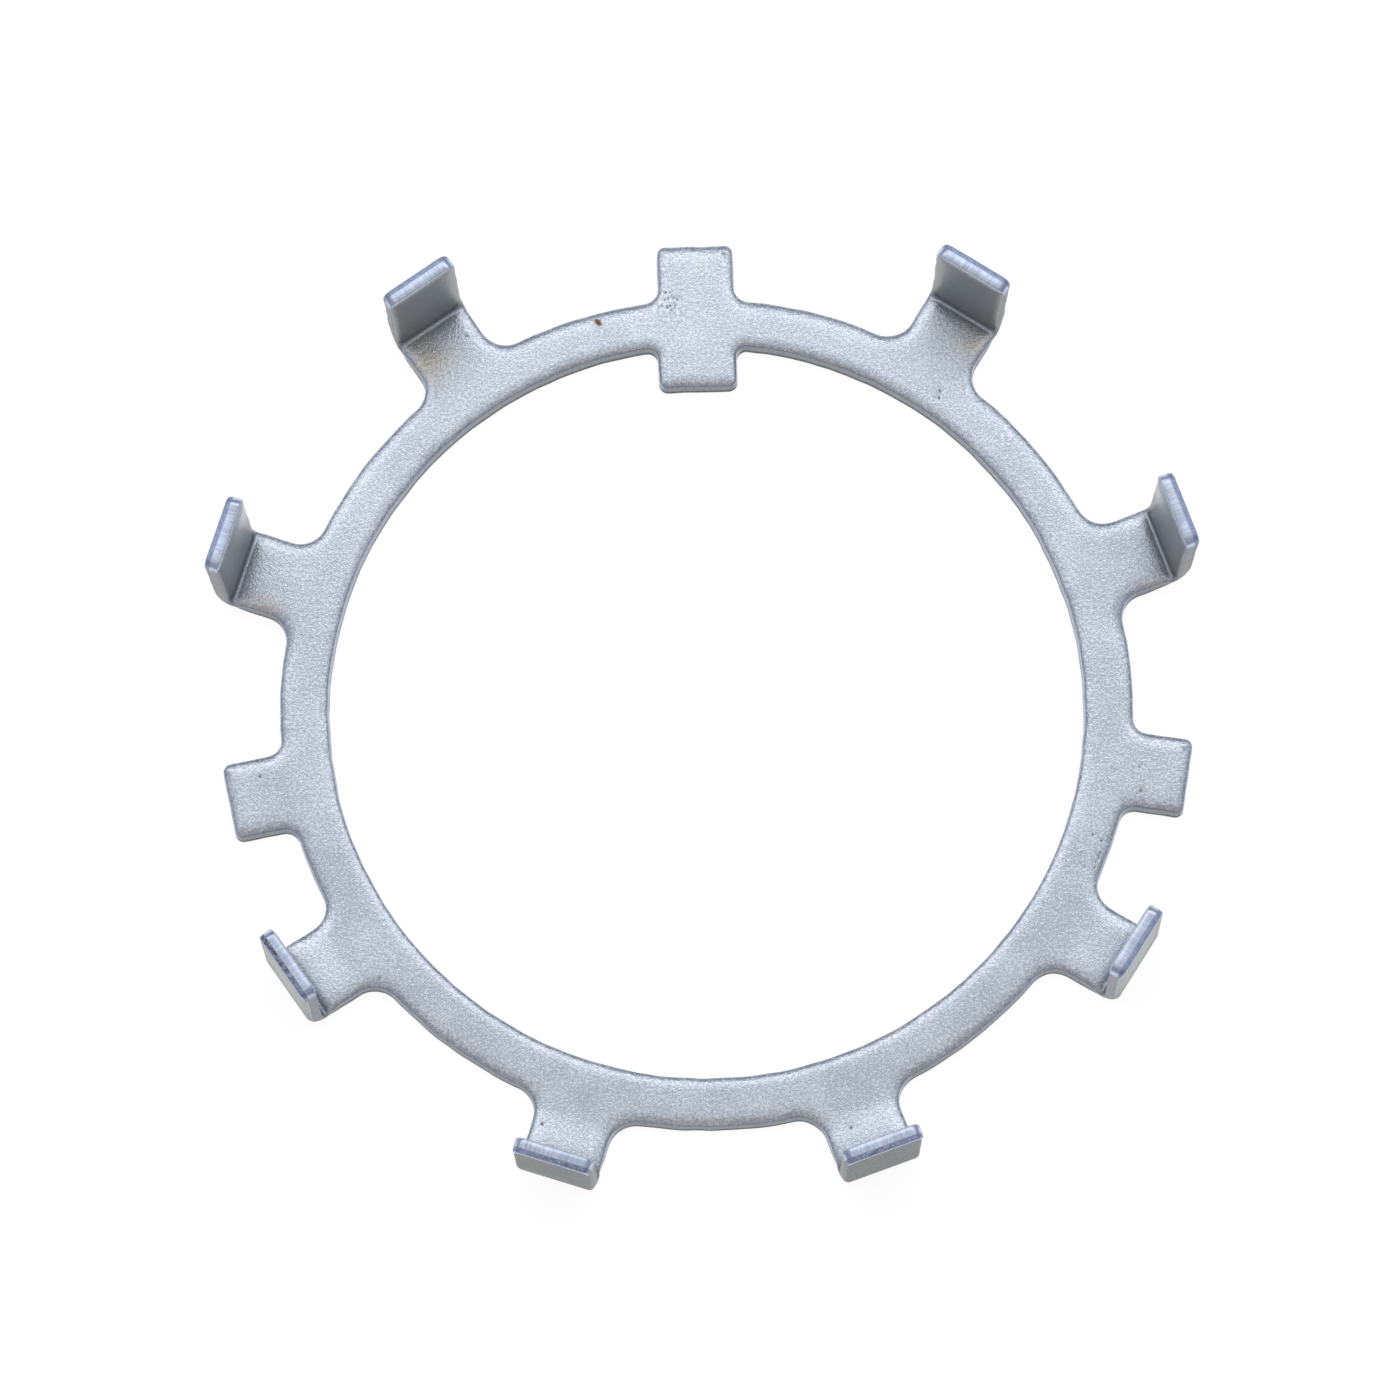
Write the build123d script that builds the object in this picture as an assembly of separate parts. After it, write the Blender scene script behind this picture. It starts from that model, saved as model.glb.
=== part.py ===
from build123d import *
import os
from math import cos, hypot, radians, sin, sqrt, tan

# Tab lock washer, stamped and bent in one piece from sheet steel.
#
# A narrow flat band runs round a large bore. One key stands into the bore and drops into the
# spindle's keyway. Three short tabs stay flat and eight longer ones are bent up square, so that
# one of them can be dressed into a slot of the nut that the washer locks.
#
# The origin is the bore's centre on the underside, +Z is the side that the tabs are bent to, and
# +Y points at the key. Bearings are counted from the key, anticlockwise seen from above.

# Sheet, in millimetres
sheet_thickness = 1.5
die_roll_radius = 0.6           # the punched side's edge, drawn down by the die
burr_side_break = 0.12          # the other side's edge, only just broken

# Band and bore
bore_diameter = 66.7            # clears a 2 5/8 inch spindle thread
band_width = 4.45

# Key
key_width = 7.1
key_reach = 4.05                # from the bore's wall into the bore
key_root_fillet = 0.9
key_corner_radius = 0.55

# Flat tabs
flat_tab_width = 6.95
flat_tab_reach = 5.2            # from the band's rim to the tab's end
flat_tab_root_fillet = 1.3
flat_tab_corner_radius = 0.8

# Bent tabs
bent_tab_width = 7.05
bent_tab_root_fillet = 2.4
bent_tab_corner_radius = 0.9
bend_reach = 5.25               # from the band's rim to the inside corner of the bend
bend_inner_radius = 0.4
bend_angle = 90.0
rear_bend_angle = 92.0          # one pair towards the rear is bent a little past square
leg_length = 10.6               # from the inside corner of the bend to the tab's end

# Bearings in degrees, each used to the left and to the right of the key
side_flat_bearing = 100.5
front_bent_bearing = 34.0
rear_bent_bearing = 124.0
bent_pitch = 37.5               # from each of those two to the next bent tab

bore_radius = bore_diameter / 2
rim_radius = bore_radius + band_width
crease_radius = rim_radius + bend_reach
root_radius = bore_radius + band_width / 2      # where each tab's own outline starts, in the band
die_roll_bevel = die_roll_radius * (2 - sqrt(2))    # touches the edge's round in its middle
touch = 0.01                                    # how near to a line counts as on it
lean = 0.3                                      # how much of a face's normal counts as facing a way

flat_bearings = [0.0, side_flat_bearing, -side_flat_bearing]
bend_angles = {
    front_bent_bearing: bend_angle,
    front_bent_bearing + bent_pitch: bend_angle,
    rear_bent_bearing: rear_bend_angle,
    rear_bent_bearing + bent_pitch: bend_angle,
}


def tab_outline(width, near, far):
    """A tab's plain outline along +Y, from one radius to another."""
    return Pos(0, (near + far) / 2) * Rectangle(width, far - near)


def key_outline():
    """The key, with the two corners that stand in the bore rounded."""
    key = tab_outline(key_width, bore_radius - key_reach, root_radius)
    return fillet(key.vertices().group_by(Axis.Y)[0], key_corner_radius)


def flat_tab_outline():
    """A flat tab, with its two outer corners rounded."""
    tab = tab_outline(flat_tab_width, root_radius, rim_radius + flat_tab_reach)
    return fillet(tab.vertices().group_by(Axis.Y)[-1], flat_tab_corner_radius)


def bend_setback(bend):
    """How far a bend starts before its inside corner."""
    return bend_inner_radius * tan(radians(bend) / 2)


def vertices_at(outline, radius):
    """The corners of an outline that lie at one distance from the bore's axis."""
    return [v for v in outline.vertices() if abs(hypot(v.X, v.Y) - radius) < touch]


def rim_outline(tabs, root_fillet):
    """The band's disc with tabs of one kind round it, their roots rounded."""
    outline = Circle(rim_radius) + tabs
    return fillet(vertices_at(outline, rim_radius), root_fillet)


def bore_outline():
    """The bore, notched by the key, with the key's roots rounded."""
    outline = Circle(bore_radius) - key_outline()
    return fillet(vertices_at(outline, bore_radius), key_root_fillet)


def bent_tabs(make):
    """What make draws along +Y for a bend, at the place of each bent tab."""
    places = []
    for bearing, bend in bend_angles.items():
        for side in (1, -1):
            places.append(Rot(0, 0, side * bearing) * make(bend))
    return places


def bent_tab_root(bend):
    """A bent tab's outline where it still lies flat, up to the start of its bend."""
    return tab_outline(bent_tab_width, root_radius, crease_radius - bend_setback(bend))


def bent_tab(bend):
    """A bent tab along +Y: its section of flat, bend and leg, drawn out over the tab's width."""
    turn = radians(bend)
    bend_start = crease_radius - bend_setback(bend)
    outer_radius = bend_inner_radius + sheet_thickness
    centre = Vector(bend_start, outer_radius)
    along = Vector(cos(turn), sin(turn))

    def on_bend(radius, share):
        """A point of the bend's section, at a share of its turn."""
        return centre + Vector(sin(turn * share), -cos(turn * share)) * radius

    leg = along * (leg_length - bend_setback(bend))
    section = make_face([
        Line((root_radius, 0), (bend_start, 0)),
        ThreePointArc((bend_start, 0), on_bend(outer_radius, 0.5), on_bend(outer_radius, 1)),
        Line(on_bend(outer_radius, 1), on_bend(outer_radius, 1) + leg),
        Line(on_bend(outer_radius, 1) + leg, on_bend(bend_inner_radius, 1) + leg),
        Line(on_bend(bend_inner_radius, 1) + leg, on_bend(bend_inner_radius, 1)),
        ThreePointArc(
            on_bend(bend_inner_radius, 1), on_bend(bend_inner_radius, 0.5),
            (bend_start, sheet_thickness),
        ),
        Line((bend_start, sheet_thickness), (root_radius, sheet_thickness)),
        Line((root_radius, sheet_thickness), (root_radius, 0)),
    ])
    upright = Plane(origin=(0, 0, 0), x_dir=(0, 1, 0), z_dir=(1, 0, 0))
    tab = extrude(upright * section, bent_tab_width / 2, both=True)
    end = tab.faces().sort_by(Axis((0, 0, 0), (0, along.X, along.Y)))[-1]
    corners = end.edges().sort_by(Axis.X)
    return fillet([corners[0], corners[-1]], bent_tab_corner_radius)


def square_edged_washer():
    """The washer as cut and bent, before its edges are rounded through the sheet."""
    flat_tabs = [Rot(0, 0, bearing) * flat_tab_outline() for bearing in flat_bearings]
    outline = rim_outline(flat_tabs, flat_tab_root_fillet)
    outline += rim_outline(bent_tabs(bent_tab_root), bent_tab_root_fillet)
    outline -= bore_outline()
    return extrude(outline, sheet_thickness) + bent_tabs(bent_tab)


def outward(face):
    """How far a face looks away from the bore's axis: 1 fully, -1 straight towards it."""
    point = face.center()
    normal = face.normal_at()
    return (normal.X * point.X + normal.Y * point.Y) / hypot(point.X, point.Y)


def is_bent(face):
    """True for a face of a bend or a leg, which rises above the flat sheet."""
    return face.bounding_box().max.Z > sheet_thickness + touch


def is_punched_side(face):
    """True on the side that the punch met: the flat's top and the inside of bends and legs."""
    if is_bent(face):
        return outward(face) < -lean
    return face.normal_at().Z > lean and abs(face.center().Z - sheet_thickness) < touch


def is_burr_side(face):
    """True on the other side: the flat's underside and the outside of bends and legs."""
    if is_bent(face):
        return outward(face) > lean
    return face.normal_at().Z < -lean and abs(face.center().Z) < touch


def side_edges(body, on_side):
    """The edges round one side of the sheet, which follow it through the bends."""
    met = {}
    for face in filter(on_side, body.faces()):
        for edge in face.edges():
            middle = edge.center()
            place = (round(middle.X, 3), round(middle.Y, 3), round(middle.Z, 3))
            met.setdefault(place, []).append(edge)
    return [edges[0] for edges in met.values() if len(edges) == 1]


def lock_washer():
    """The finished washer. Its rolled edge is drawn as a bevel, within 0.05 mm of the round."""
    body = square_edged_washer()
    body = chamfer(side_edges(body, is_punched_side), die_roll_bevel)
    return chamfer(side_edges(body, is_burr_side), burr_side_break)


if __name__ == "__main__":
    os.makedirs("parts", exist_ok=True)
    export_step(lock_washer(), "parts/lock_washer.step")
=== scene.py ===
import logging
from dataclasses import dataclass, field
from enum import Enum
from math import atan2, ceil, cos, pi, radians, sin, sqrt, tan

import bpy
import numpy as np
from mathutils import Matrix, Vector
from mathutils.geometry import delaunay_2d_cdt


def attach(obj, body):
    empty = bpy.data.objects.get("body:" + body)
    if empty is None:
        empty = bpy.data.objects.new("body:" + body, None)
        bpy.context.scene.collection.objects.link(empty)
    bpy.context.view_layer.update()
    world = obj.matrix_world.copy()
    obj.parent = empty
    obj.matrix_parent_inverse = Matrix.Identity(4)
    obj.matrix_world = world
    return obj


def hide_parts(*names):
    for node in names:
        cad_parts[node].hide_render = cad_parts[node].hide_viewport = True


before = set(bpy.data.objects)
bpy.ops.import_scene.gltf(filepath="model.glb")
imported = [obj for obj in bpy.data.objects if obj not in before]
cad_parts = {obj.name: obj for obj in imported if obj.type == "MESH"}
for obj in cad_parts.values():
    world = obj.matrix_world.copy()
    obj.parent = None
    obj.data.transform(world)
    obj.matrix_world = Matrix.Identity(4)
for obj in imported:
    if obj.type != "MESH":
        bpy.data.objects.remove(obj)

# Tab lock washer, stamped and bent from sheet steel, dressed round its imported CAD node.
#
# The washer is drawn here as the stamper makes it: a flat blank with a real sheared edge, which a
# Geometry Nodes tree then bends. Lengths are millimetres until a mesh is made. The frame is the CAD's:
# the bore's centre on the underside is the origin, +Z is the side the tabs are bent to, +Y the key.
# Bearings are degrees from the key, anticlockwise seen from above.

MM = 0.001
NODE = "lock_washer"
BLOCK = 1500                        # how many points are measured at a time, to spare memory
TINY = 1e-12                        # stands for 0 where something is divided by it
MERGE = 1e-7                        # points of the fill closer than this would be merged
WAVES_PER_GROUP = 6                 # how many waves of random length an uneven line adds up
WAVE_SHARE = 0.58                   # how high each of them is
WAVE_LIMIT = 1.4                    # how far the sum may go

# Names that the node tables use often.
MATH = "ShaderNodeMath"
VECTORS = "ShaderNodeVectorMath"
MIX = "ShaderNodeMix"
SPAN = "ShaderNodeMapRange"
NOISE = "ShaderNodeTexNoise"
READ = "ShaderNodeAttribute"
FROM = ("From Min", "From Max")
TO = ("To Min", "To Max")
COLOURS = {"data_type": "RGBA"}
NUMBERS = {"data_type": "FLOAT"}
PRODUCT = {"operation": "MULTIPLY"}
SCALED_SUM = {"operation": "MULTIPLY_ADD"}
LARGER = {"operation": "MAXIMUM"}

Waves = tuple[tuple[float, float, float], ...]      # each group's longest wave, shortest wave and share
log = logging.getLogger("scene")


class Side(Enum):
    """The two sides of the sheet."""

    PUNCHED = "punched"
    BURR = "burr"


def linear(hex_colour: str) -> tuple[float, float, float, float]:
    """Turn an sRGB hex colour into the linear colour that sockets take.

    Args:
        hex_colour: Six hex digits, with or without a leading #.

    Returns:
        Linear red, green, blue and an alpha of 1.
    """
    digits = hex_colour.lstrip("#")
    shares = [int(digits[i:i + 2], 16) / 255 for i in (0, 2, 4)]
    lit = [c / 12.92 if c <= 0.04045 else ((c + 0.055) / 1.055) ** 2.4 for c in shares]
    return (lit[0], lit[1], lit[2], 1.0)


def add_node(
    tree: bpy.types.NodeTree,
    kind: str,
    settings: dict[str, object] | None = None,
    inputs: dict[str | int, object] | None = None,
) -> bpy.types.Node:
    """Add a node, set its properties, and fill or link its inputs.

    Args:
        tree: The node tree that gets the node.
        kind: The node's type name.
        settings: Properties of the node itself.
        inputs: Values or output sockets, by input name or number.

    Returns:
        The new node.
    """
    node = tree.nodes.new(kind)
    for name, value in (settings or {}).items():
        setattr(node, name, value)
    for name, value in (inputs or {}).items():
        if isinstance(value, bpy.types.NodeSocket):
            tree.links.new(value, node.inputs[name])
        else:
            node.inputs[name].default_value = value
    return node


def lay_out(tree: bpy.types.NodeTree, known: dict[str, bpy.types.NodeSocket], rows: list[tuple]) -> None:
    """Add a table's nodes in order, each fed by what is known by then.

    Args:
        tree: The node tree that gets the nodes.
        known: Output sockets by name. Each row adds its own.
        rows: Each node's name, type name, settings and inputs, and which output is kept where it isn't
            the first. Text in an input is a known socket's name, or else the input's own text.
    """
    for name, kind, settings, inputs, *outlet in rows:
        fed = {}
        for key, value in inputs.items():
            fed[key] = known.get(value, value) if isinstance(value, str) else value
        node = add_node(tree, kind, settings, fed)
        first = next(socket for socket in node.outputs if socket.enabled)
        known[name] = node.outputs[outlet[0]] if outlet else first


def bare(material: bpy.types.Material | bpy.types.World) -> bpy.types.NodeTree:
    """Return a new material's or world's node tree, emptied."""
    material.use_nodes = True
    material.node_tree.nodes.clear()
    return material.node_tree


def arc(
    centre: tuple[float, float], radius: float, start: float, end: float, step: float, hollow: bool = False
) -> np.ndarray:
    """Sample an arc of an outline, without its last point.

    Args:
        centre: The arc's centre.
        radius: Its radius.
        start: First angle in radians, from +X.
        end: Last angle.
        step: Longest distance between points.
        hollow: True where the metal lies outside the arc.

    Returns:
        Rows of x, y and the direction out of the metal.
    """
    count = max(2, ceil(abs(end - start) * radius / step))
    angle = start + (end - start) * np.arange(count) / count
    spoke = np.column_stack([np.cos(angle), np.sin(angle)])
    return np.hstack([np.asarray(centre) + radius * spoke, -spoke if hollow else spoke])


def straight(
    start: tuple[float, float], end: tuple[float, float], outward: tuple[float, float], step: float
) -> np.ndarray:
    """Sample a straight run of an outline, without its last point.

    Args:
        start: First point.
        end: Last point.
        outward: The direction out of the metal.
        step: Longest distance between points.

    Returns:
        Rows of x, y and the direction out of the metal.
    """
    span = np.subtract(end, start)
    count = max(1, ceil(float(np.hypot(*span)) / step))
    points = np.asarray(start) + span * (np.arange(count) / count)[:, None]
    return np.hstack([points, np.tile(outward, (count, 1))])


def levels(start: float, end: float, step: float) -> np.ndarray:
    """Return even levels from start up to, but without, end."""
    count = max(1, ceil((end - start) / step))
    return start + (end - start) * np.arange(count) / count


def turned(rows: np.ndarray, bearing: float) -> np.ndarray:
    """Turn rows of points and directions from a tab's own frame to its bearing."""
    c, s = cos(radians(bearing)), sin(radians(bearing))
    turn = np.array([[c, s], [-s, c]])
    return np.hstack([rows[:, pair:pair + 2] @ turn for pair in range(0, rows.shape[1], 2)])


def eased(value: np.ndarray, low: float, high: float) -> np.ndarray:
    """Ease from 0 at low to 1 at high."""
    share = np.clip((value - low) / (high - low), 0, 1)
    return share * share * (3 - 2 * share)


@dataclass(frozen=True)
class Tab:
    """One tab, where it stands and how the die bent it."""

    bearing: float
    bend: float = 0.0               # degrees, 0 for a flat tab
    shift: float = 0.0              # how far out of place its crease, or a flat tab's end, is
    crown: float = 1.0              # how much of the rule's crown it has

    @property
    def reach(self) -> np.ndarray:
        """The direction in which the tab stands out."""
        return np.array([-sin(radians(self.bearing)), cos(radians(self.bearing))])

    @property
    def across(self) -> np.ndarray:
        """The direction across the tab's width."""
        return np.array([cos(radians(self.bearing)), sin(radians(self.bearing))])


@dataclass(frozen=True)
class BendRule:
    """How the die bends a tab: the inside radius and the layer that keeps its length."""

    thickness: float = 1.5
    inner_radius: float = 0.4
    neutral_share: float = 0.42
    crease_radius: float = 43.05
    leg_length: float = 10.6
    crown_height: float = 0.26      # how far the sheet crowns up before the crease
    crown_far: float = 4.4          # where the crown starts, as a distance before the bend
    crown_near: float = 0.6         # its top
    crown_end: float = 0.8          # where it has fallen off, past the bend's start
    thinned: float = 0.32           # how much thinner the sheet is in the middle of its bend
    thinned_reach: float = 1.1      # how far along the blank either way that goes

    def start(self, tab: Tab) -> float:
        """Return where a tab's bend starts, as a distance from the bore's axis."""
        return self.crease_radius + tab.shift - self.inner_radius * tan(radians(tab.bend) / 2)

    def flat_length(self, tab: Tab) -> float:
        """Return the length of blank that a tab's bend takes up."""
        return radians(tab.bend) * (self.inner_radius + self.neutral_share * self.thickness)

    def blank_end(self, tab: Tab) -> float:
        """Return how far from the axis a tab's blank reaches before it is bent."""
        setback = self.inner_radius * tan(radians(tab.bend) / 2)
        return self.start(tab) + self.flat_length(tab) + self.leg_length - setback

    def crown(self, past: np.ndarray) -> np.ndarray:
        """Tell how far the sheet is raised, by the distance past the start of a bend."""
        rising = eased(past, -self.crown_far, -self.crown_near)
        falling = 1 - eased(past, -self.crown_near, self.crown_end)
        return self.crown_height * rising * falling

    def thinning(self, past: np.ndarray, length: float) -> np.ndarray:
        """Tell how much thinner the sheet is, by the distance past the start of a bend of a length."""
        return self.thinned * np.exp(-((past - length / 2) / self.thinned_reach) ** 2)

    def sizes(self) -> dict[str, float]:
        """Return the sizes that the bending tree takes, by the names of its inputs."""
        return {
            "Sheet Thickness": self.thickness,
            "Bend Radius": self.inner_radius,
            "Neutral Layer": self.neutral_share * self.thickness,
            "Crease Radius": self.crease_radius,
        }

    def tree(self) -> bpy.types.NodeTree:
        """Build the Geometry Nodes tree that bends the blank's tabs.

        Returns:
            The tree. It reads each point's reach, turn and shift, and which faces are sheared.
        """
        tree = bpy.data.node_groups.new("bend_tabs", "GeometryNodeTree")
        face = tree.interface
        face.new_socket("Blank", in_out="INPUT", socket_type="NodeSocketGeometry")
        for name, value in self.sizes().items():
            socket = face.new_socket(name, in_out="INPUT", socket_type="NodeSocketFloat")
            socket.default_value = value * MM
        for name in ("Sheet Skin", "Sheared Edge"):
            face.new_socket(name, in_out="INPUT", socket_type="NodeSocketMaterial")
        face.new_socket("Washer", in_out="OUTPUT", socket_type="NodeSocketGeometry")

        known = {socket.name: socket for socket in add_node(tree, "NodeGroupInput").outputs}
        layers = (("reach", "FLOAT_VECTOR"), ("turn", "FLOAT"), ("shift", "FLOAT"), ("sheared", "BOOLEAN"))
        rows = [
            (name, "GeometryNodeInputNamedAttribute", {"data_type": kind}, {"Name": name}, "Attribute")
            for name, kind in layers
        ]
        rows += [
            ("place", "GeometryNodeInputPosition", None, {}),
            ("out", VECTORS, {"operation": "DOT_PRODUCT"}, {0: "place", 1: "reach"}, "Value"),
            ("height", "ShaderNodeSeparateXYZ", None, {"Vector": "place"}, "Z"),
        ]
        # Each step's name, its operation and its terms, which are numbers or what is known by then.
        steps = (
            ("half turn", "MULTIPLY", "turn", 0.5),
            ("slope", "TANGENT", "half turn"),
            ("setback", "MULTIPLY", "Bend Radius", "slope"),
            ("crease", "ADD", "Crease Radius", "shift"),
            ("start", "SUBTRACT", "crease", "setback"),
            ("centre", "ADD", "Sheet Thickness", "Bend Radius"),
            ("neutral radius", "ADD", "Bend Radius", "Neutral Layer"),
            ("length", "MULTIPLY", "turn", "neutral radius"),
            ("past", "SUBTRACT", "out", "start"),
            ("share", "DIVIDE", "past", "length"),
            ("share begun", "MAXIMUM", "share", 0.0),
            ("share done", "MINIMUM", "share begun", 1.0),
            ("angle", "MULTIPLY", "turn", "share done"),
            ("sine", "SINE", "angle"),
            ("cosine", "COSINE", "angle"),
            ("radius", "SUBTRACT", "centre", "height"),
            ("before", "MINIMUM", "past", 0.0),
            ("left over", "SUBTRACT", "past", "length"),
            ("beyond", "MAXIMUM", "left over", 0.0),
            ("swing out", "MULTIPLY", "radius", "sine"),
            ("swing up", "MULTIPLY", "radius", "cosine"),
            ("leg out", "MULTIPLY", "beyond", "cosine"),
            ("leg up", "MULTIPLY", "beyond", "sine"),
            ("level part", "ADD", "start", "before"),
            ("bent part", "ADD", "swing out", "leg out"),
            ("bent out", "ADD", "level part", "bent part"),
            ("hanging", "SUBTRACT", "leg up", "swing up"),
            ("bent up", "ADD", "hanging", "centre"),
            ("moved", "SUBTRACT", "bent out", "out"),
            ("raised", "SUBTRACT", "bent up", "height"),
        )
        for name, operation, *terms in steps:
            rows.append((name, MATH, {"operation": operation}, dict(enumerate(terms))))
        finish = "GeometryNodeSetMaterial"
        lay_out(tree, known, rows + [
            ("level", VECTORS, {"operation": "SCALE"}, {0: "reach", "Scale": "moved"}),
            ("rise", "ShaderNodeCombineXYZ", None, {"Z": "raised"}),
            ("offset", VECTORS, {"operation": "ADD"}, {0: "level", 1: "rise"}),
            ("bent", "GeometryNodeSetPosition", None, {"Geometry": "Blank", "Offset": "offset"}),
            ("whole", "GeometryNodeRealizeInstances", None, {"Geometry": "bent"}),
            ("skinned", finish, None, {"Geometry": "whole", "Material": "Sheet Skin"}),
            ("edged", finish, None, {
                "Geometry": "skinned", "Selection": "sheared", "Material": "Sheared Edge",
            }),
        ])
        add_node(tree, "NodeGroupOutput", None, {"Washer": known["edged"]})
        return tree

    def fold(self, blank: bpy.types.Object, skin: bpy.types.Material, edge: bpy.types.Material) -> None:
        """Bend the blank's tabs and keep the result as a plain mesh.

        Args:
            blank: The flat blank's object, which becomes the bent washer.
            skin: The material of the sheet's two sides and rolled edge.
            edge: The material of the sheared edge.
        """
        tree = self.tree()
        modifier = blank.modifiers.new("bend_tabs", "NODES")
        modifier.node_group = tree
        given = {name: value * MM for name, value in self.sizes().items()}
        given |= {"Sheet Skin": skin, "Sheared Edge": edge}
        for item in tree.interface.items_tree:
            if item.name in given:
                modifier[item.identifier] = given[item.name]
        evaluated = blank.evaluated_get(bpy.context.evaluated_depsgraph_get())
        bent = bpy.data.meshes.new_from_object(evaluated)
        blank.modifiers.clear()
        flat = blank.data
        blank.data = bent
        bpy.data.meshes.remove(flat)


@dataclass(frozen=True)
class ShearedEdge:
    """The section that shearing leaves: a rolled edge, a burnished land and a torn zone that falls back."""

    thickness: float = 1.5
    roll_reach: float = 1.35        # how far from the edge the die starts to draw the sheet down
    roll_drop: float = 0.42         # how far down it is drawn at the edge
    roll_insets: tuple[float, ...] = (0.45, 0.37, 0.29, 0.21, 0.14, 0.08, 0.035, 0.0)
    shaded_rows: int = 2              # how many of the roll's last rows take the sheared edge's dark colours, as painted shade
    shoulder_insets: tuple[float, ...] = (0.6, 0.78, 1.0, 1.24)
    land_end: float = 0.95          # how deep the burnished land ends, below the punched side
    tip_land_end: float = 1.03      # the same at a bent tab's tip
    flare: float = 0.22             # how far a flat part's wall spreads on its way down, facing the rear
    flare_base: float = 0.25        # the share of that by which its foot stands past the outline
    land_fall: float = 0.012        # how far it has fallen back by there
    tear_step: float = 0.008        # how far it steps back where the torn zone starts
    tear_lip: float = 0.05          # how deep below the land's end that step ends
    tear_fall: float = 0.03         # how far the torn zone falls back in all
    burr_break: float = 0.13        # the burr side's round on the band and the flat tabs
    leg_break: float = 0.4          # the same on a leg, which tumbling reaches better
    tip_break: float = 0.2          # the same at a leg's tip
    tip_roll: float = 0.6           # the share of the rolled edge's drop that a tip has
    break_turns: tuple[float, ...] = (0.0, 0.2, 0.4, 0.6, 0.8, 1.0)
    tear_wander: float = 0.07       # how far the land's end wanders up and down

    def drop(self, inset: np.ndarray) -> np.ndarray:
        """Tell how far the punched side has dropped, by the distance from the edge."""
        past = np.clip(1 - np.asarray(inset) / self.roll_reach, 0, 1)
        return self.roll_drop * (1 - np.sqrt(1 - past ** 2))

    def roll_share(self, tip: np.ndarray) -> np.ndarray:
        """Tell what share of the roll's drop is there, by how far a point belongs to a tip."""
        return 1 - (1 - self.tip_roll) * tip

    def spread(self, facing: np.ndarray, leg: np.ndarray) -> np.ndarray:
        """Tell how far the wall spreads. The punch sat off to the front, so the rear walls spread most.

        Args:
            facing: The direction out of the metal at each point.
            leg: How far each point belongs to a leg.

        Returns:
            The distance between the wall's top and its foot, as seen from above.
        """
        return self.flare * (1 - leg) * (1 - facing[:, 1]) / 2

    def section(
        self, leg: np.ndarray, tip: np.ndarray, line: np.ndarray, spread: np.ndarray
    ) -> tuple[np.ndarray, np.ndarray]:
        """Lay the section's points out round an outline, from the punched side to the burr side.

        Args:
            leg: How far each of the outline's points belongs to a leg.
            tip: How far it belongs to a leg's tip.
            line: The uneven line that the land's end follows there, between about -1 and 1.
            spread: How far the wall spreads there.

        Returns:
            Insets from the outline and depths below the punched side, as rows round the outline.
        """
        even = np.zeros_like(leg)
        rounding = self.burr_break + (self.leg_break - self.burr_break) * leg
        rounding += (self.tip_break - self.leg_break) * tip
        torn = self.land_fall + self.tear_step
        bottom = self.thickness - rounding
        land = self.land_end + (self.tip_land_end - self.land_end) * tip + line * self.tear_wander
        tear = land + self.tear_lip
        roll = self.roll_share(tip)
        rows = [(even + inset, float(self.drop(inset)) * roll) for inset in self.roll_insets]
        rows += [
            (even + self.land_fall / 2, (self.roll_drop * roll + land) / 2),
            (even + self.land_fall, land),
            (even + torn, tear),
            (even + torn + self.tear_fall / 2, (tear + bottom) / 2),
        ]
        for turn in self.break_turns:
            inset = torn + self.tear_fall + rounding * (1 - cos(turn * pi / 2))
            rows.append((inset, bottom + rounding * sin(turn * pi / 2)))
        insets, depths = (np.array(values) for values in zip(*rows))
        wall = self.roll_drop * roll
        insets += spread * (np.clip((bottom - depths) / (bottom - wall), 0, 1) - self.flare_base)
        return insets, depths


@dataclass(frozen=True)
class Pit:
    """A small dent in the punched side, which may be drawn out into a scratch and may hold rust."""

    x: float
    y: float
    radius: float
    depth: float
    rust: float = 0.0
    length: float = 0.0             # half its length, for a scratch
    heading: float = 0.0            # the scratch's direction in degrees from +X
    # Its rings of points, as shares of its radius, depth and rust. The outermost is a faint lip.
    rings: tuple[tuple[float, float, float], ...] = ((0.5, 0.8, 1.0), (0.95, 0.1, 0.6), (1.4, -0.1, 0.15))
    corners: int = 8

    def points(self) -> np.ndarray:
        """List the dent's points.

        Returns:
            Rows of x, y, depth and rust.
        """
        c, s = cos(radians(self.heading)), sin(radians(self.heading))
        rows = [(self.x, self.y, self.depth, self.rust)]
        for share, sunk, rust in self.rings:
            for k in range(self.corners):
                angle = 2 * pi * k / self.corners
                along = (self.radius * share + self.length) * cos(angle)
                beside = self.radius * share * sin(angle)
                x = self.x + along * c - beside * s
                y = self.y + along * s + beside * c
                rows.append((x, y, self.depth * sunk, self.rust * rust))
        return np.array(rows)


@dataclass(frozen=True)
class Galling:
    """A patch that rubbing against another part has roughened with many fine dents and lips."""

    x: float
    y: float
    reach: float
    count: int
    seed: int
    dent: float = 0.05
    lip: float = -0.035
    radii: tuple[float, float] = (0.07, 0.15)
    lip_every: int = 3              # one mark in this many is a lip
    rust: float = 0.1

    def pits(self) -> tuple[Pit, ...]:
        """Scatter the patch's dents and lips."""
        chance = np.random.default_rng(self.seed)
        pits = []
        for k in range(self.count):
            away = self.reach * sqrt(chance.uniform())
            angle = chance.uniform(0, 2 * pi)
            radius = chance.uniform(*self.radii)
            depth = self.lip if (k + 1) % self.lip_every == 0 else self.dent
            place = self.x + away * cos(angle), self.y + away * sin(angle)
            pits.append(Pit(*place, radius, depth, self.rust))
        return tuple(pits)


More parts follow.
